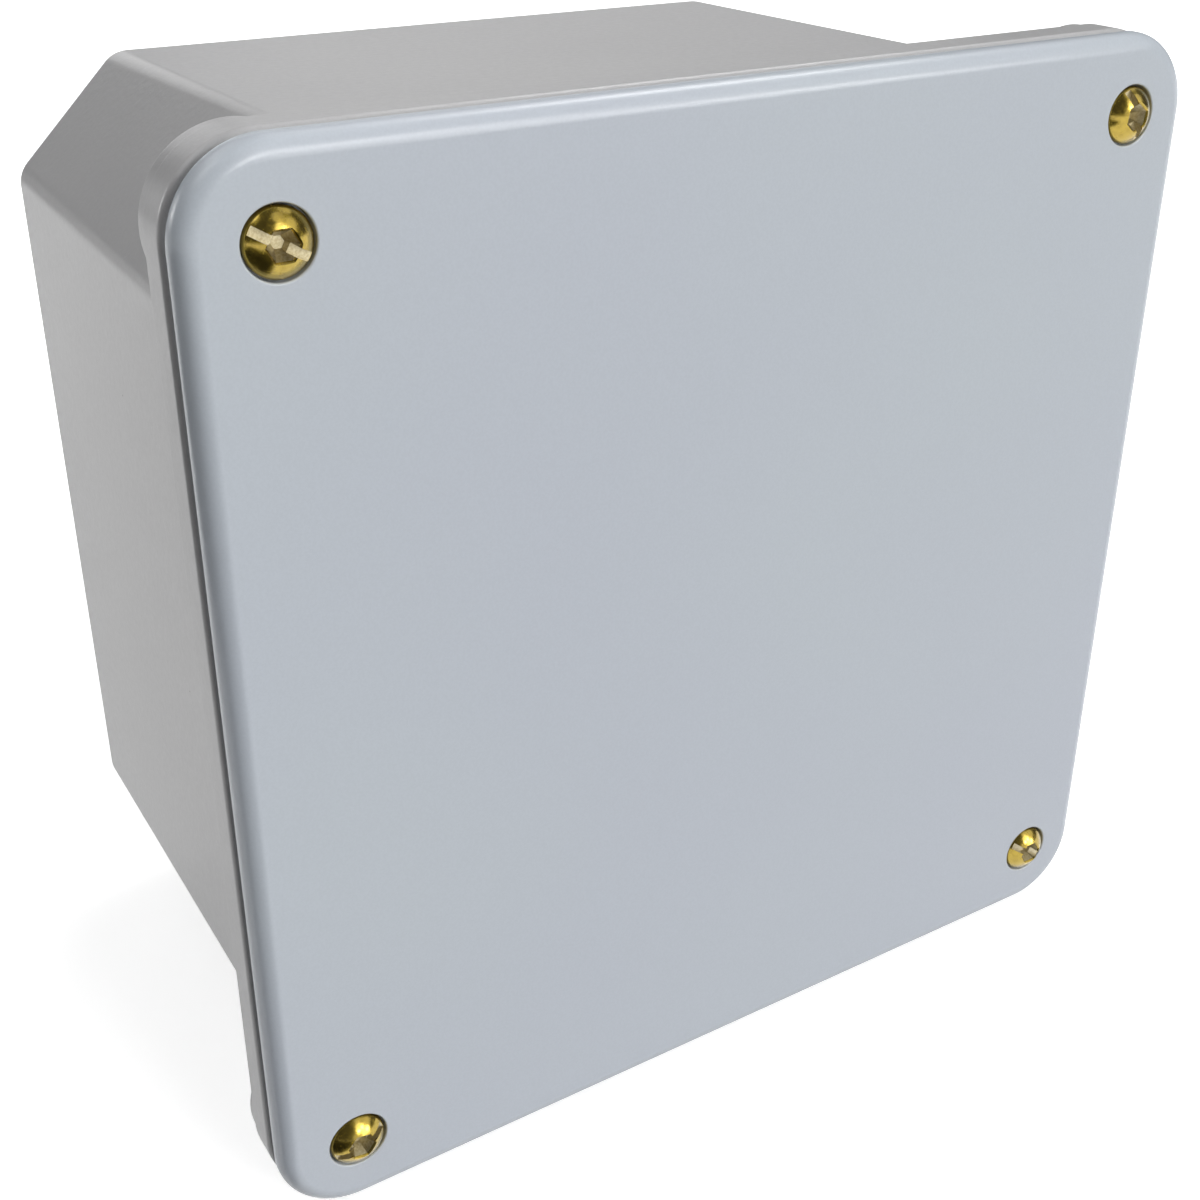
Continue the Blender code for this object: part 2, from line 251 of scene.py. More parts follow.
def loop_loft(name, sections, material=None):
    """A closed ring: outlines joined in order, the last one back to the first."""
    solid = bmesh.new()
    rings = [[solid.verts.new((x, y, z)) for x, z in outline] for y, outline in sections]
    for index, lower in enumerate(rings):
        upper = rings[(index + 1) % len(rings)]
        for corner in range(len(lower)):
            following = (corner + 1) % len(lower)
            solid.faces.new((lower[corner], lower[following], upper[following], upper[corner]))
    return new_piece(name, solid, material)


def circle(radius):
    """Points of a circle; radius may be a function of the angle."""
    points = []
    for side in range(ROUND_SIDES):
        angle = 2 * math.pi * side / ROUND_SIDES
        reach = radius(angle) if callable(radius) else radius
        points.append((reach * math.cos(angle), reach * math.sin(angle)))
    return points


def turned(name, profile):
    """A solid turned about Y from (radius, y) points whose ends are closed by flat discs."""
    return loft(name, [(y, circle(radius)) for radius, y in profile])


def ring(name, profile, material):
    """A ring turned about Y from a closed profile of (radius, y) points."""
    return loop_loft(name, [(y, circle(radius)) for radius, y in profile], material)


def rectangle(width, height):
    x, z = width / 2, height / 2
    return [(x, -z), (x, z), (-x, z), (-x, -z)]


def hexagon(apothem):
    """A hexagon with two of its flats square to X."""
    reach = apothem / math.cos(math.pi / 6)
    turns = [math.pi / 6 + math.pi / 3 * corner for corner in range(6)]
    return [(reach * math.cos(turn), reach * math.sin(turn)) for turn in turns]


def at(piece, x, z):
    piece.location = (x, 0, z)
    return piece


def carve(piece, added=(), removed=()):
    """Joins and cuts with exact booleans, keeps the result as the piece's mesh and drops the tools."""
    tools = [(tool, "UNION") for tool in added] + [(tool, "DIFFERENCE") for tool in removed]
    for tool, operation in tools:
        modifier = piece.modifiers.new(tool.name, "BOOLEAN")
        modifier.operation = operation
        modifier.solver = "EXACT"
        modifier.object = tool
    bpy.context.view_layer.update()
    graph = bpy.context.evaluated_depsgraph_get()
    result = bpy.data.meshes.new_from_object(piece.evaluated_get(graph), depsgraph=graph)
    result.name = piece.name
    piece.modifiers.clear()
    piece.data = result
    for tool, _ in tools:
        bpy.data.objects.remove(tool)
    return piece


def finish_piece(piece, body, node):
    """Smooth shading with true flats, then the piece's place in the frame."""
    piece.data.shade_smooth()
    piece.data.set_sharp_from_angle(angle=SMOOTH_ANGLE)
    normals = piece.modifiers.new("flat faces stay flat", "WEIGHTED_NORMAL")
    normals.keep_sharp = True
    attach(piece, body)
    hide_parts(node)


def corner_points(spacing):
    """(corner name, x, z) of a square pattern."""
    for corner in CORNERS:
        x = spacing / 2 if "right" in corner else -spacing / 2
        z = spacing / 2 if "top" in corner else -spacing / 2
        yield corner, x, z


def screw_places():
    """(corner name, x, z) of the four cover screws, as the frame has them."""
    for corner in CORNERS:
        low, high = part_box(f"cover_screw_{corner}")
        middle = (low + high) / 2
        yield corner, middle.x, middle.z


# ---------------------------------------------------------------- the moulded box
def rounded_end(start, edge, inset, corner_sum, radius):
    """Sections of the drafted octagonal prism over the rounded edge at its rear end."""
    sections = []
    for inward, along in quarter(EDGE_STEPS):
        shrink = edge * inward
        half = wall_half(start - edge * along) - inset - shrink
        outline = octagon_outline(half, corner_sum - shrink * math.sqrt(2), radius - shrink / 2)
        sections.append((start - edge * along, outline))
    return sections


def walls():
    """The outer walls, flaring into the flange over a small root fillet."""
    sections = rounded_end(0.0, BACK_EDGE, 0.0, CHAMFER_SUM, BACK_CREASE_RADIUS)
    for inward, along in quarter(EDGE_STEPS):
        y = FLANGE_REAR + ROOT_FILLET * inward
        grow = ROOT_FILLET * along
        outline = octagon_outline(wall_half(y) + grow, CHAMFER_SUM + grow * math.sqrt(2), CREASE_RADIUS)
        sections.append((y, outline))
    sections.append(((FLANGE_REAR + FLANGE_FRONT) / 2, sections[-1][1]))
    return sections


def flange():
    """The square front flange, with a fuller radius on its front edge than on its rear one."""
    sections = []
    for inward, along in quarter(EDGE_STEPS):
        y = FLANGE_REAR - FLANGE_REAR_EDGE * along
        shrink = FLANGE_REAR_EDGE * inward
        sections.append((y, square_outline(HALF - shrink, PLAN_RADIUS - shrink)))
    for inward, along in reversed(list(quarter(EDGE_STEPS))):
        y = FLANGE_FRONT + FLANGE_FRONT_EDGE * along
        shrink = FLANGE_FRONT_EDGE * inward
        sections.append((y, square_outline(HALF - shrink, PLAN_RADIUS - shrink)))
    return sections


def cavity():
    """The inside of the box, with a broken edge at its mouth."""
    inside = rounded_end(-WALL, INNER_EDGE, WALL, INNER_SUM, INNER_RADIUS)
    half = wall_half(FLANGE_FRONT) - WALL
    for grow, y in (
        (0.0, FLANGE_FRONT + MOUTH_EDGE),
        (MOUTH_EDGE, FLANGE_FRONT),
        (MOUTH_EDGE * 2, FLANGE_FRONT - MOUTH_EDGE),
    ):
        outline = octagon_outline(half + grow, INNER_SUM + grow * math.sqrt(2), INNER_RADIUS + grow)
        inside.append((y, outline))
    return inside


def lug(corner):
    """The round corner lug behind the flange, around a threaded insert."""
    radius = PLAN_RADIUS - LUG_INSET
    profile = [(radius - FLANGE_REAR_EDGE * i, FLANGE_REAR + LUG_DEPTH - FLANGE_REAR_EDGE * a)
               for i, a in quarter(EDGE_STEPS)]
    profile.append((radius, (FLANGE_REAR + FLANGE_FRONT) / 2))
    return turned(f"lug_{corner}", profile)


def boss(corner):
    """A mounting boss on the inside of the back wall, with a fillet at its foot."""
    top = -WALL - BOSS_HEIGHT
    arc = list(reversed(list(quarter(EDGE_STEPS))))
    profile = [(BOSS_RADIUS + BOSS_EDGE, -WALL / 2)]
    profile += [(BOSS_RADIUS + BOSS_EDGE * along, -WALL - BOSS_EDGE * inward) for inward, along in arc]
    profile += [(BOSS_RADIUS - BOSS_EDGE * inward, top + BOSS_EDGE * along) for inward, along in arc]
    return turned(f"boss_{corner}", profile)


def pilot(corner):
    """The cutter of a boss's blind pilot hole, with the drill's cone at its end."""
    depth = -WALL - BOSS_HEIGHT - WALL
    tip = (PILOT_RADIUS / 6, -PILOT_SKIN)
    shoulder = (PILOT_RADIUS, -PILOT_SKIN - PILOT_RADIUS / 3)
    return turned(f"pilot_{corner}", [tip, shoulder, (PILOT_RADIUS, depth)])


def dimple(corner):
    """The cutter of a drilling dimple in the back face."""
    tip = (DIMPLE_RADIUS / 8, -DIMPLE_DEPTH)
    return turned(f"dimple_{corner}", [(DIMPLE_RADIUS * 2, DIMPLE_DEPTH), tip])


def build_box(material):
    piece = loft("moulded_box", walls(), material)
    lugs = [at(lug(corner), x, z) for corner, x, z in corner_points(2 * (HALF - PLAN_RADIUS))]
    carve(piece, added=[loft("flange", flange())] + lugs, removed=[loft("cavity", cavity())])
    bosses = [at(boss(corner), x, z) for corner, x, z in corner_points(BOSS_SPACING)]
    holes = [at(pilot(corner), x, z) for corner, x, z in corner_points(BOSS_SPACING)]
    holes += [at(dimple(corner), x, z) for corner, x, z in corner_points(BOSS_SPACING)]
    for corner, x, z in screw_places():
        low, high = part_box(f"threaded_insert_{corner}")
        depth = high.y + (INSERT_POCKET - (high.x - low.x) / 2)
        profile = [(INSERT_POCKET, depth), (INSERT_POCKET, FLANGE_FRONT - WALL)]
        holes.append(at(turned(f"insert_pocket_{corner}", profile), x, z))
    carve(piece, added=bosses, removed=holes)
    finish_piece(piece, "box", "box_body")


# ---------------------------------------------------------------- the cover
def cover_shell():
    sections = []
    for inward, along in quarter(EDGE_STEPS):
        y = COVER_REAR - COVER_REAR_EDGE * along
        shrink = COVER_REAR_EDGE * inward
        sections.append((y, square_outline(HALF - shrink, PLAN_RADIUS - shrink)))
    for inward, along in reversed(list(quarter(2 * EDGE_STEPS))):
        y = COVER_FRONT + COVER_ROLL * along
        shrink = COVER_ROLL * inward
        sections.append((y, square_outline(HALF - shrink, PLAN_RADIUS - shrink)))
    return sections


def rib_outline(inset):
    """Outline of the locating rib, inset from the wall of the box's mouth."""
    half = wall_half(FLANGE_FRONT) - WALL - inset
    radius = max(INNER_RADIUS - inset, INNER_RADIUS / 4)
    return octagon_outline(half, INNER_SUM - inset * math.sqrt(2), radius)


def rib():
    """The locating rib under the cover, with a rounded tip."""
    root = COVER_REAR - OVERLAP
    inner = RIB_CLEARANCE + RIB_THICK
    arc = list(quarter(EDGE_STEPS // 2))
    sections = [(root, rib_outline(RIB_CLEARANCE))]
    for inward, along in reversed(arc):
        outline = rib_outline(RIB_CLEARANCE + RIB_ROUNDING * inward)
        sections.append((RIB_TIP - RIB_ROUNDING * along, outline))
    for inward, along in arc:
        sections.append((RIB_TIP - RIB_ROUNDING * along, rib_outline(inner - RIB_ROUNDING * inward)))
    sections.append((root, rib_outline(inner)))
    return loop_loft("rib", sections)


def pad(corner):
    """A stop pad around a screw hole, with a fillet at its foot and a broken edge at its end."""
    arc = list(reversed(list(quarter(EDGE_STEPS))))
    profile = [(PAD_RADIUS + PAD_FILLET, COVER_REAR - OVERLAP)]
    profile += [(PAD_RADIUS + PAD_FILLET * along, COVER_REAR + PAD_FILLET * inward)
                for inward, along in arc]
    profile += [(PAD_RADIUS - PAD_EDGE * inward, PAD_END - PAD_EDGE * along) for inward, along in arc]
    return turned(f"pad_{corner}", profile)


def counterbore(corner):
    """The counterbore's cutter, flaring into a soft lip at the cover's face."""
    profile = [(COUNTERBORE_RADIUS, SEAT)]
    for inward, along in quarter(EDGE_STEPS):
        reach = COUNTERBORE_RADIUS + COUNTERBORE_LIP * along
        profile.append((reach, COVER_FRONT + COUNTERBORE_LIP * inward))
    profile.append((COUNTERBORE_RADIUS + COUNTERBORE_LIP, COVER_FRONT - WALL))
    return turned(f"counterbore_{corner}", profile)


def build_cover(material):
    piece = loft("cover_plate", cover_shell(), material)
    added = [rib()]
    removed = []
    for corner, x, z in screw_places():
        hole = [(CLEARANCE_RADIUS, PAD_END + WALL), (CLEARANCE_RADIUS, COVER_FRONT - WALL)]
        pocket = [(POCKET_RADIUS, PAD_END + WALL), (POCKET_RADIUS, PAD_END - POCKET_DEPTH)]
        added.append(at(pad(corner), x, z))
        removed.append(at(counterbore(corner), x, z))
        removed.append(at(turned(f"hole_{corner}", hole), x, z))
        removed.append(at(turned(f"pocket_{corner}", pocket), x, z))
    carve(piece, added, removed)
    finish_piece(piece, "cover", "front_cover")


def build_gasket(material):
    """A foam frame with softly rounded edges."""
    middle = (GASKET_LOW.y + GASKET_HIGH.y) / 2
    reach = (GASKET_HIGH.y - GASKET_LOW.y) / 2
    sections = []
    for step in range(2 * EDGE_STEPS):
        angle = math.pi * (step + 0.5) / EDGE_STEPS
        side = math.copysign(abs(math.cos(angle)) ** GASKET_SIDE_POWER, math.cos(angle))
        depth = math.copysign(abs(math.sin(angle)) ** GASKET_FACE_POWER, math.sin(angle))
        share = (1 - side) / 2
        half = GASKET_HIGH.x - GASKET_WIDTH * share
        corner_sum = GASKET_OUTER_SUM + (GASKET_INNER_SUM - GASKET_OUTER_SUM) * share
        outline = octagon_outline(half, corner_sum, GASKET_RADIUS - GASKET_WIDTH * share)
        sections.append((middle + reach * depth, outline))
    piece = loop_loft("foam_gasket", sections, material)
    finish_piece(piece, "cover", "cover_gasket")


# ---------------------------------------------------------------- the fasteners
def thread_height(y, angle):
    """0 at the root to 1 at the crest of a right-hand thread about Y."""
    phase = (y / THREAD_PITCH + angle / (2 * math.pi)) % 1.0
    slope = abs(phase - 0.5) * 2
    return 1 - min(max((slope - THREAD_CREST) / THREAD_FLANK, 0.0), 1.0)


def screw_sections():
    """Sections from the crown to the tip, with the under-head face at y = 0."""
    rise = math.asin((HEAD_RADIUS - HEAD_EDGE / 2) / HEAD_BALL)
    sections = []
    for step in range(1, 3 * EDGE_STEPS + 1):
        angle = rise * step / (3 * EDGE_STEPS)
        y = -HEAD_SIDE - HEAD_DOME + HEAD_BALL * (1 - math.cos(angle))
        sections.append((y, circle(HEAD_BALL * math.sin(angle))))
    sections.append((-HEAD_SIDE + HEAD_EDGE / 2, circle(HEAD_RADIUS)))
    for inward, along in reversed(list(quarter(EDGE_STEPS // 2))):
        sections.append((-HEAD_EDGE * along, circle(HEAD_RADIUS - HEAD_EDGE * inward)))
    core = THREAD_OUTER - THREAD_DEPTH
    sections += [(0.0, circle(THREAD_OUTER)), (HEAD_EDGE, circle(core))]
    rings = round((SHANK_LENGTH - HEAD_EDGE) / THREAD_PITCH * THREAD_RINGS)
    for index in range(1, rings + 1):
        y = HEAD_EDGE + (SHANK_LENGTH - HEAD_EDGE) * index / rings
        run_in = min(1.0, (y - HEAD_EDGE) / THREAD_PITCH)
        run_out = min(1.0, (SHANK_LENGTH - y) / THREAD_PITCH)
        depth = THREAD_DEPTH * run_in * run_out
        taper = THREAD_DEPTH / 2 * (1 - run_out)
        radius = lambda angle: core - taper + depth * thread_height(y, angle)
        sections.append((y, circle(radius)))
    return sections


def build_screw(corner, x, z, material):
    _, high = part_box(f"cover_screw_{corner}")
    piece = loft(f"brass_screw_{corner}", screw_sections(), material)
    crown = -HEAD_SIDE - HEAD_DOME
    above = crown - HEAD_DOME
    slot = rectangle(HEAD_RADIUS * 4, SLOT_WIDTH)
    socket = [
        (above, hexagon(SOCKET_TOP + HEAD_DOME + SOCKET_MOUTH)),
        (crown + SOCKET_MOUTH, hexagon(SOCKET_TOP)),
        (crown + SOCKET_DEPTH, hexagon(SOCKET_FLOOR)),
    ]
    carve(piece, removed=[
        loft("slot", [(above, slot), (crown + SLOT_DEPTH, slot)]),
        loft("socket", socket),
    ])
    piece.location = (x, high.y - SHANK_LENGTH, z)
    piece.rotation_euler = Euler((0, -math.radians(SLOT_ANGLES[corner]), 0))
    finish_piece(piece, f"screw_{corner}", f"cover_screw_{corner}")


def rounded_ring(outer, inner, start, end, edge):
    """Closed (radius, y) profile of a ring with rounded edges."""
    profile = []
    corners = [(outer, end, -1, -1), (outer, start, -1, 1), (inner, start, 1, 1), (inner, end, 1, -1)]
    for index, (radius, y, inward, along) in enumerate(corners):
        arc = [(radius + inward * edge * i, y + along * edge * a) for i, a in quarter(EDGE_STEPS // 2)]
        profile += arc if index % 2 == 0 else arc[::-1]
    return profile


def build_washer(corner, x, z, material):
    low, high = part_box(f"retaining_washer_{corner}")
    outer = (high.x - low.x) / 2
    profile = rounded_ring(outer, WASHER_INNER, low.y, high.y, WASHER_EDGE)
    piece = at(ring(f"nylon_washer_{corner}", profile, material), x, z)
    finish_piece(piece, f"washer_{corner}", f"retaining_washer_{corner}")


def knurl(y, angle, outer):
    """Radius of a diamond knurl: two crossed sets of grooves."""
    turns = angle * KNURL_TEETH / (2 * math.pi)
    one = abs((turns + y / KNURL_PITCH) % 1.0 - 0.5) * 2
    other = abs((turns - y / KNURL_PITCH) % 1.0 - 0.5) * 2
    return outer - KNURL_DEPTH * max(one, other)


def build_insert(corner, x, z, material):
    """A brass insert: chamfered mouth, knurled outside, threaded bore."""
    low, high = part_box(f"threaded_insert_{corner}")
    outer = (high.x - low.x) / 2
    steps = round((high.y - low.y) / THREAD_PITCH * THREAD_RINGS)
    sections = [(low.y, circle(outer - INSERT_EDGE))]
    for index in range(steps + 1):
        y = low.y + INSERT_EDGE + (high.y - low.y - 2 * INSERT_EDGE) * index / steps
        sections.append((y, circle(lambda angle: knurl(y, angle, outer))))
    sections.append((high.y, circle(outer - INSERT_EDGE)))
    for index in range(steps + 1):
        y = high.y - (high.y - low.y - INSERT_EDGE) * index / steps
        groove = lambda angle: INSERT_INNER + INSERT_THREAD * thread_height(y, angle)
        sections.append((y, circle(groove)))
    sections.append((low.y, circle(INSERT_INNER + INSERT_THREAD)))
    piece = at(loop_loft(f"brass_insert_{corner}", sections, material), x, z)
    finish_piece(piece, "box", f"threaded_insert_{corner}")


# ---------------------------------------------------------------- materials
class Nodes:
    """A short way to write a material's node tree."""

    def __init__(self, name):
        self.material = bpy.data.materials.new(name)
        self.material.use_nodes = True
        self.tree = self.material.node_tree
        self.shader = self.tree.nodes["Principled BSDF"]

    def add(self, kind, links=None, **settings):
        node = self.tree.nodes.new(kind)
        for key, value in settings.items():
            setattr(node, key, value)
        for key, value in (links or {}).items():
            self.set(node, key, value)
        return node

    def set(self, node, key, value):
        socket = node.inputs[key]
        if isinstance(value, bpy.types.NodeSocket):
            self.tree.links.new(value, socket)
        else:
            socket.default_value = value

    def shade(self, **values):
        for key, value in values.items():
            self.set(self.shader, key.replace("_", " ").title().replace("Ior", "IOR"), value)

    def place(self):
        return self.add("ShaderNodeTexCoord").outputs["Object"]

    def noise(self, scale, detail=2.0, roughness=0.5):
        links = {"Vector": self.place(), "Scale": scale, "Detail": detail, "Roughness": roughness}
        return self.add("ShaderNodeTexNoise", links).outputs["Fac"]

    def spread(self, value, low, high, to_low, to_high):
        """Eases value from low..high to to_low..to_high, level at both ends."""
        links = {
            "Value": value, "From Min": low, "From Max": high, "To Min": to_low, "To Max": to_high,
        }
        return self.add("ShaderNodeMapRange", links, interpolation_type="SMOOTHSTEP").outputs["Result"]

    def mix(self, factor, first, second, blend="MIX"):
        node = self.add("ShaderNodeMix", data_type="RGBA", blend_type=blend)
        self.set(node, "Factor", factor)
        for socket, value in ((node.inputs[6], first), (node.inputs[7], second)):
            if isinstance(value, bpy.types.NodeSocket):
                self.tree.links.new(value, socket)
            else:
                socket.default_value = value
        return node.outputs[2]

    def math(self, operation, first, second):
        node = self.add("ShaderNodeMath", operation=operation)
        self.set(node, 0, first)
        self.set(node, 1, second)
        return node.outputs[0]

    def bump(self, height, distance, normal=None):
        node = self.add("ShaderNodeBump", {"Height": height, "Distance": distance, "Strength": 1.0})
        if normal:
            self.set(node, "Normal", normal)
        return node.outputs["Normal"]


def grey(value):
    return (value, value, value, 1.0)


def body_plastic():
    """Moulded grey PVC: faintly mottled, finely speckled, with a few tiny dark specks."""
    n = Nodes("moulded_pvc_body")
    base, deep = (0.480, 0.478, 0.482, 1.0), (0.464, 0.461, 0.468, 1.0)
    mottle = n.spread(n.noise(22.0, 3.0), 0.25, 0.75, 0.0, 1.0)
    colour = n.mix(mottle, deep, base)
    speckle = n.spread(n.noise(1900.0, 2.0, 0.7), 0.3, 0.7, 0.975, 1.02)
    colour = n.mix(1.0, colour, speckle, "MULTIPLY")
    cells = n.add("ShaderNodeTexVoronoi", {"Vector": n.place(), "Scale": 150.0})
    dot = n.spread(cells.outputs["Distance"], 0.012, 0.03, 1.0, 0.0)
    chosen = n.spread(n.noise(37.0, 0.0), 0.60, 0.63, 0.0, 1.0)
    colour = n.mix(n.math("MULTIPLY", dot, chosen), colour, (0.10, 0.10, 0.10, 1.0))
    rough = n.spread(n.noise(900.0, 2.0), 0.3, 0.7, 0.30, 0.35)
    peel = n.bump(n.noise(700.0, 2.0), 0.00004)
    grain = n.bump(n.noise(3200.0, 2.0, 0.6), 0.00001, normal=peel)
    n.shade(base_color=colour, roughness=rough, normal=grain)
    return n.material


def cover_plastic():
    """Smooth light blue-grey PVC with a satin gloss, slight flow marks and faint orange peel."""
    n = Nodes("smooth_pvc_cover")
    base, deep = (0.517, 0.563, 0.607, 1.0), (0.504, 0.539, 0.603, 1.0)
    flow = n.spread(n.noise(9.0, 2.0), 0.2, 0.8, 0.0, 1.0)
    colour = n.mix(flow, deep, base)
    fleck = n.spread(n.noise(2600.0, 1.0), 0.3, 0.7, 0.985, 1.015)
    colour = n.mix(1.0, colour, fleck, "MULTIPLY")
    rough = n.spread(n.noise(900.0, 2.0), 0.3, 0.7, 0.268, 0.272)
    peel = n.bump(n.noise(330.0, 2.0), 0.00002)
    n.shade(base_color=colour, roughness=rough, normal=peel)
    return n.material


def turned_brass(name, colour, deep, roughness, ring_scale):
    """Turned brass with fine tool marks: its nodes, and its colour and roughness to build on."""
    n = Nodes(name)
    tarnish = n.spread(n.noise(900.0, 3.0), 0.35, 0.7, 0.0, 1.0)
    marks = n.add("ShaderNodeTexWave", {"Vector": n.place(), "Scale": ring_scale, "Distortion": 0.4},
                  wave_type="RINGS", rings_direction="Y")
    rough = n.spread(n.noise(1500.0, 2.0), 0.3, 0.7, roughness * 0.8, roughness * 1.25)
    tone = n.mix(tarnish, colour, deep)
    n.shade(base_color=tone, metallic=1.0, roughness=rough,
            normal=n.bump(marks.outputs["Fac"], 0.0000015), coat_weight=0.6, coat_roughness=0.12)
    return n, tone, rough


def insert_brass():
    """Machined brass, finer ringed and duller than the screws."""
    n, _, _ = turned_brass(
        "machined_brass", (0.52, 0.38, 0.12, 1.0), (0.44, 0.32, 0.09, 1.0), 0.34, 1400.0)
    return n.material


def screw_brass():
    """Lacquered brass, rough and pale inside the slot and the socket."""
    n, tone, rough = turned_brass(
        "lacquered_brass", (0.43, 0.31, 0.045, 1.0), (0.37, 0.26, 0.035, 1.0), 0.22, 900.0)
    middle = (0.0, HEAD_BALL - HEAD_SIDE - HEAD_DOME, 0.0)
    depth = n.add("ShaderNodeVectorMath", {0: n.place(), 1: middle},
                  operation="DISTANCE").outputs["Value"]
    flat = n.add("ShaderNodeVectorMath", {0: n.place(), 1: (1.0, 0.0, 1.0)},
                 operation="MULTIPLY").outputs[0]
    reach = n.add("ShaderNodeVectorMath", {0: flat}, operation="LENGTH").outputs["Value"]
    along = n.add("ShaderNodeSeparateXYZ", {"Vector": n.place()}).outputs["Y"]
    under_dome = n.math("LESS_THAN", depth, HEAD_BALL - RECESS_SKIN)
    under_mouth = n.math("GREATER_THAN", along, SOCKET_MOUTH - HEAD_SIDE - HEAD_DOME)
    in_head = n.math("MULTIPLY", n.math("LESS_THAN", reach, HEAD_RADIUS - 2 * RECESS_SKIN),
                     n.math("LESS_THAN", along, -HEAD_EDGE))
    sawn = n.math("MULTIPLY", n.math("MULTIPLY", under_dome, under_mouth), in_head)
    streaks = n.spread(n.noise(2600.0, 3.0, 0.7), 0.3, 0.7, 0.0, 1.0)
    pale = n.mix(streaks, (0.34, 0.28, 0.15, 1.0), (0.50, 0.44, 0.28, 1.0))
    n.shade(base_color=n.mix(sawn, tone, pale),
            roughness=n.math("ADD", rough, n.math("MULTIPLY", sawn, 0.22)))
    return n.material


def foam():
    """Dark closed-cell foam rubber."""
    n = Nodes("foam_rubber")
    cells = n.add("ShaderNodeTexVoronoi", {"Vector": n.place(), "Scale": 2600.0})
    pores = n.spread(cells.outputs["Distance"], 0.1, 0.6, 0.0, 1.0)
    colour = n.mix(pores, (0.020, 0.020, 0.022, 1.0), (0.048, 0.049, 0.052, 1.0))
    n.shade(base_color=colour, roughness=0.9, normal=n.bump(pores, 0.00006))
    return n.material


def nylon():
    """Natural nylon, slightly waxy."""
    n = Nodes("natural_nylon")
    cloud = n.spread(n.noise(700.0, 2.0), 0.3, 0.7, 0.0, 1.0)
    colour = n.mix(cloud, (0.70, 0.69, 0.63, 1.0), (0.76, 0.75, 0.70, 1.0))
    n.shade(base_color=colour, roughness=0.42, normal=n.bump(n.noise(2500.0, 2.0), 0.00001))
    return n.material


# ---------------------------------------------------------------- the studio
CAMERA_PLACE = (-0.14465, -0.29839, 0.13070)
CAMERA_TURN = (63.224, -0.456, -32.354)
CAMERA_LENS = 49.459
CAMERA_SHIFT = (-0.02137, -0.03136)
FLOOR_DROP = 0.0006
FLOOR_SIZE = 8.0
FLOOR_GLOW = 0.58
AIR_GLOW = 0.1
CARD_AWAY = 1.3
CARD_HEIGHT = 0.55
CARD_START, CARD_END = 96, 140      # azimuths of the far card's upright edges, in degrees
LOW_CARD_REACH = 1.0
LOW_CARD_GAP = 0.28         # keeps the low card out of the side wall's reflection


def build_camera():
    data = bpy.data.cameras.new("studio_camera")
    data.lens = CAMERA_LENS
    data.sensor_width = 36.0
    data.shift_x, data.shift_y = CAMERA_SHIFT
    data.clip_start = 0.01
    camera = bpy.data.objects.new("studio_camera", data)
    camera.location = CAMERA_PLACE
    camera.rotation_euler = Euler([math.radians(angle) for angle in CAMERA_TURN])
    bpy.context.scene.collection.objects.link(camera)
    bpy.context.scene.camera = camera


def build_floor():
    solid = bmesh.new()
    bmesh.ops.create_grid(solid, x_segments=8, y_segments=8, size=FLOOR_SIZE / 2)
    mesh = bpy.data.meshes.new("studio_floor")
    solid.to_mesh(mesh)
    solid.free()
    n = Nodes("studio_paper")
    tone = n.spread(n.noise(3.0, 2.0), 0.3, 0.7, 0.93, 0.95)
    paper = n.add("ShaderNodeCombineColor", {"Red": tone, "Green": tone, "Blue": tone}).outputs[0]
    n.shade(base_color=paper, roughness=0.9)
    n.shade(specular_ior_level=0.1, emission_color=grey(1.0), emission_strength=FLOOR_GLOW)
    mesh.materials.append(n.material)
    floor = bpy.data.objects.new("studio_floor", mesh)
    floor.location.z = CAD_BOX[0].z - FLOOR_DROP
    floor.visible_diffuse = False
    bpy.context.scene.collection.objects.link(floor)


def build_backdrop():
    """A white wall all round the edge of the floor, which the camera alone sees."""
    solid = bmesh.new()
    bmesh.ops.create_cone(solid, segments=ROUND_SIDES, radius1=FLOOR_SIZE / 2, radius2=FLOOR_SIZE / 2,
                          depth=FLOOR_SIZE)
    n = Nodes("studio_backdrop")
    n.shade(base_color=grey(0.9), roughness=0.9, emission_color=grey(1.0), emission_strength=1.0)
    wall = new_piece("studio_backdrop", solid, n.material)
    wall.visible_diffuse = wall.visible_glossy = wall.visible_transmission = wall.visible_shadow = False


def black_card(name, corners):
    """A black card that only reflections see, where the room around the table is dark."""
    solid = bmesh.new()
    solid.faces.new([solid.verts.new(corner) for corner in corners])
    n = Nodes(name)
    n.shade(base_color=grey(0.01), roughness=0.9)
    card = new_piece(name, solid, n.material)
    card.location.z = CAD_BOX[0].z
    card.visible_camera = card.visible_diffuse = card.visible_shadow = False


def build_cards():
    """An upright card far behind the left side, and an L-shaped one that lies beside the box."""
    far_left = []
    for azimuth, height in (
        (CARD_START, 0.0), (CARD_END, 0.0), (CARD_END, CARD_HEIGHT), (CARD_START, CARD_HEIGHT),
    ):
        turn = math.radians(azimuth)
        far_left.append((CARD_AWAY * math.cos(turn), CARD_AWAY * math.sin(turn), height))
    black_card("far_left_card", far_left)
    left, front, gap = -LOW_CARD_REACH, -LOW_CARD_REACH / 2, LOW_CARD_GAP
    low = [
        (left, front), (-HALF, front), (-HALF, COVER_FRONT),
        (-gap, COVER_FRONT), (-gap, gap), (left, gap),
    ]
    black_card("low_left_card", [(x, y, FLOOR_DROP) for x, y in low])


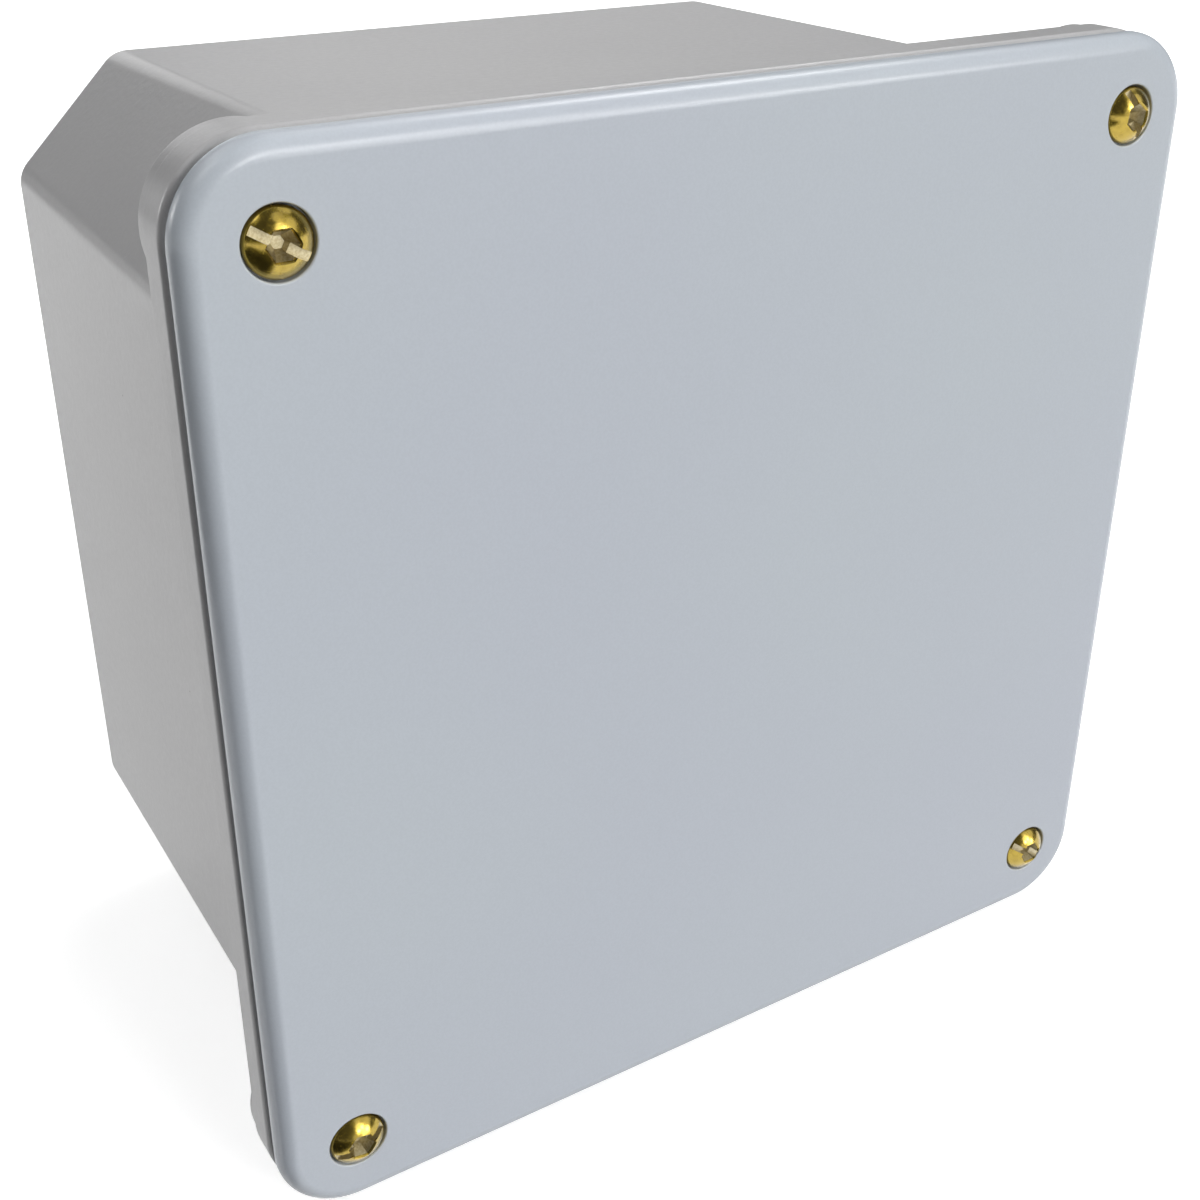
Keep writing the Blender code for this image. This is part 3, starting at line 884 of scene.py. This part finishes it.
PANELS = (      # azimuth from +X towards +Y, elevation and width in degrees, then strength
    ("back_right_wall", 60, 6, 28, 0.09),
    ("back_wall", 90, 6, 28, 0.32),
    ("back_left_wall", 128, 8, 16, 0.70),
    ("front_wall", 270, 6, 28, 0.15),
    ("front_right_wall", 300, 6, 28, 0.84),
    ("back_bank", 72, 30, 30, 0.12),
    ("front_right_bank", 288, 30, 30, 0.55),
    ("right_front_bank", 324, 30, 30, 0.23),
    ("right_overhead", 0, 56, 30, 0.2),
    ("back_left_overhead", 120, 56, 30, 0.30),
    ("left_overhead", 180, 56, 30, 0.48),
    ("front_overhead", 300, 56, 30, 0.19),
    ("strip_low", -50, 12, 14, 0.32),
    ("strip_left", -80, 20, 12, 0.46),
    ("strip_right", -64, 26, 12, 0.28),
    ("softbox_middle", 40, 52, 20, 0.23),
    ("softbox_right", 20, 54, 14, 0.37),
)


def panel(name, azimuth, elevation, width, strength):
    """A round studio panel far away in that direction; its angles and width are in degrees."""
    turn, lift = math.radians(azimuth), math.radians(elevation)
    towards = Vector((math.cos(turn) * math.cos(lift), math.sin(turn) * math.cos(lift), math.sin(lift)))
    data = bpy.data.lights.new(name, "SUN")
    data.angle = math.radians(width)
    data.energy = strength
    light = bpy.data.objects.new(name, data)
    light.rotation_euler = towards.to_track_quat("Z", "Y").to_euler()
    bpy.context.scene.collection.objects.link(light)


def build_lights():
    world = bpy.data.worlds.new("studio_air")
    world.use_nodes = True
    background = world.node_tree.nodes["Background"]
    background.inputs["Color"].default_value = grey(1.0)
    background.inputs["Strength"].default_value = AIR_GLOW
    bpy.context.scene.world = world
    bpy.context.scene.view_settings.view_transform = "Standard"
    for name, azimuth, elevation, width, strength in PANELS:
        panel(name, azimuth, elevation, width, strength)


def main():
    build_camera()
    build_floor()
    build_backdrop()
    build_cards()
    build_lights()
    build_box(body_plastic())
    build_cover(cover_plastic())
    build_gasket(foam())
    screw_metal = screw_brass()
    insert_metal = insert_brass()
    washer_plastic = nylon()
    for corner, x, z in screw_places():
        build_screw(corner, x, z, screw_metal)
        build_washer(corner, x, z, washer_plastic)
        build_insert(corner, x, z, insert_metal)


main()
